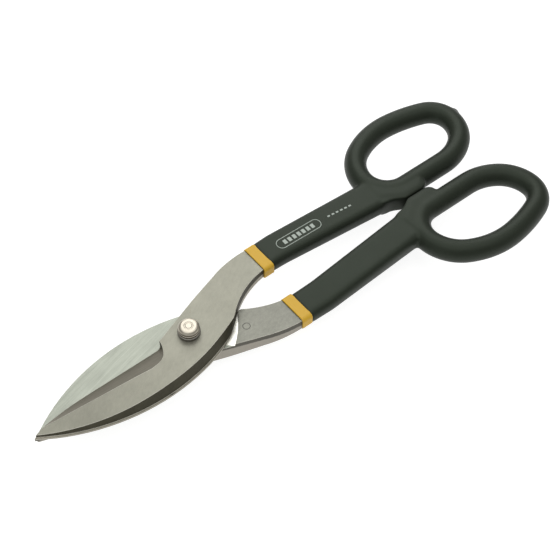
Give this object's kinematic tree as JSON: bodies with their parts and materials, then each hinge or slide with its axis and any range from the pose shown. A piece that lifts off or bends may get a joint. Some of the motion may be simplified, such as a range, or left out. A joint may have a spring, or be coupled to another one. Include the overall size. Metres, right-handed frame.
{
  "type": "straight pattern metal snips",
  "caption": "Long-bladed forged tinner's snips with a single pivot bolt, dipped vinyl handles and closed finger bows.",
  "frame": {"origin": "centre of the pivot bolt's end face, on the pivot axis", "axes": "+X from the pivot to the finger bows, +Z along the pivot axis from the nut to the bolt head"},
  "size_m": [0.3045, 0.1138, 0.0305],
  "materials": {
    "forged_steel": "satin",
    "grip_vinyl": "satin",
    "band_vinyl": "satin",
    "nickel": "polished",
    "nylon": "matte"
  },
  "bodies": {
    "lower": {"lower_blade": "forged_steel", "lower_grip": "grip_vinyl", "lower_band": "band_vinyl", "pivot_bolt": "nickel", "head_washer": "nickel", "nut_washer": "nickel", "lock_nut": "nickel", "nut_insert": "nylon"},
    "upper": {"upper_blade": "forged_steel", "upper_grip": "grip_vinyl", "upper_band": "band_vinyl"}
  },
  "joints": [
    {"name": "pivot", "type": "hinge", "parent": "lower", "child": "upper", "pos_m": [0, 0, 0.0166], "axis": [0, 0, 1], "range_deg": [0, 45]}
  ]
}
